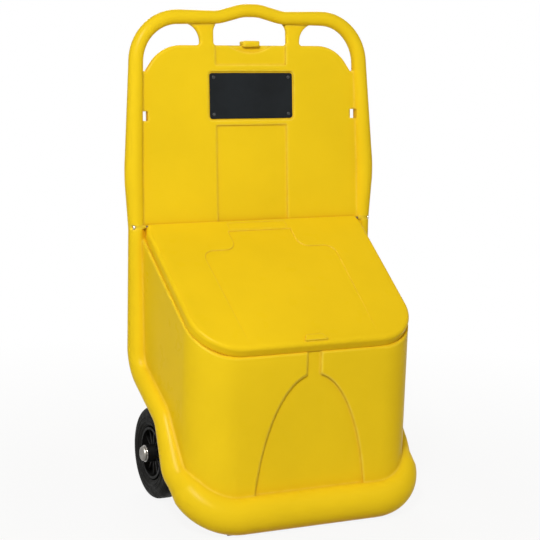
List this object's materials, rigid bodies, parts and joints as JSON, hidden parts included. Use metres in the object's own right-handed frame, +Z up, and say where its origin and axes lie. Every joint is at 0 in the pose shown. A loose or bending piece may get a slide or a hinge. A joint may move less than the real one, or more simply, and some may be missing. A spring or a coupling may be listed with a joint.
{
  "type": "grit salt cart",
  "caption": "Hand cart for winter grit: moulded hopper with a sloping hinged lid, leaning back panel with a round rail and grips, front bumper and rear wheels on an axle.",
  "frame": {"origin": "on the ground under the middle of the cart's length, width and depth box", "axes": "+Z up, +X to the right as seen from the front, the front with the bumper faces -Y, the wheels are at +Y"},
  "size_m": [0.5676, 0.4119, 1.018],
  "materials": {
    "body_yellow": "satin moulded polyethylene",
    "lid_yellow": "satin moulded polyethylene",
    "plate_dark": "semi-matt sheet",
    "rivet_dark": "semi-matt",
    "steel": "zinc-plated",
    "cap_steel": "dull pressed steel",
    "tyre_rubber": "matt rubber",
    "hub_black": "satin moulded plastic",
    "bush_grey": "plain bearing plastic"
  },
  "bodies": {
    "cart": {"body_shell": "body_yellow", "hinge_rod": "steel", "left_rod_cap": "steel", "right_rod_cap": "steel", "label_plate": "plate_dark", "plate_rivets": "rivet_dark", "axle": "steel", "left_axle_cap": "cap_steel", "right_axle_cap": "cap_steel", "left_outer_washer": "steel", "right_outer_washer": "steel", "left_inner_washer": "steel", "right_inner_washer": "steel"},
    "lid": {"lid": "lid_yellow"},
    "left_wheel": {"left_tyre": "tyre_rubber", "left_wheel_hub": "hub_black", "left_axle_bush": "bush_grey"},
    "right_wheel": {"right_tyre": "tyre_rubber", "right_wheel_hub": "hub_black", "right_axle_bush": "bush_grey"}
  },
  "joints": [
    {"name": "lid_hinge", "type": "hinge", "parent": "cart", "child": "lid", "pos_m": [0, 0.11741, 0.5692], "axis": [-1, 0, 0], "range_deg": [0, 124]},
    {"name": "left_wheel_spin", "type": "hinge", "parent": "cart", "child": "left_wheel", "pos_m": [0, 0.1105, 0.0955], "axis": [1, 0, 0], "continuous": true},
    {"name": "right_wheel_spin", "type": "hinge", "parent": "cart", "child": "right_wheel", "pos_m": [0, 0.1105, 0.0955], "axis": [1, 0, 0], "continuous": true}
  ]
}
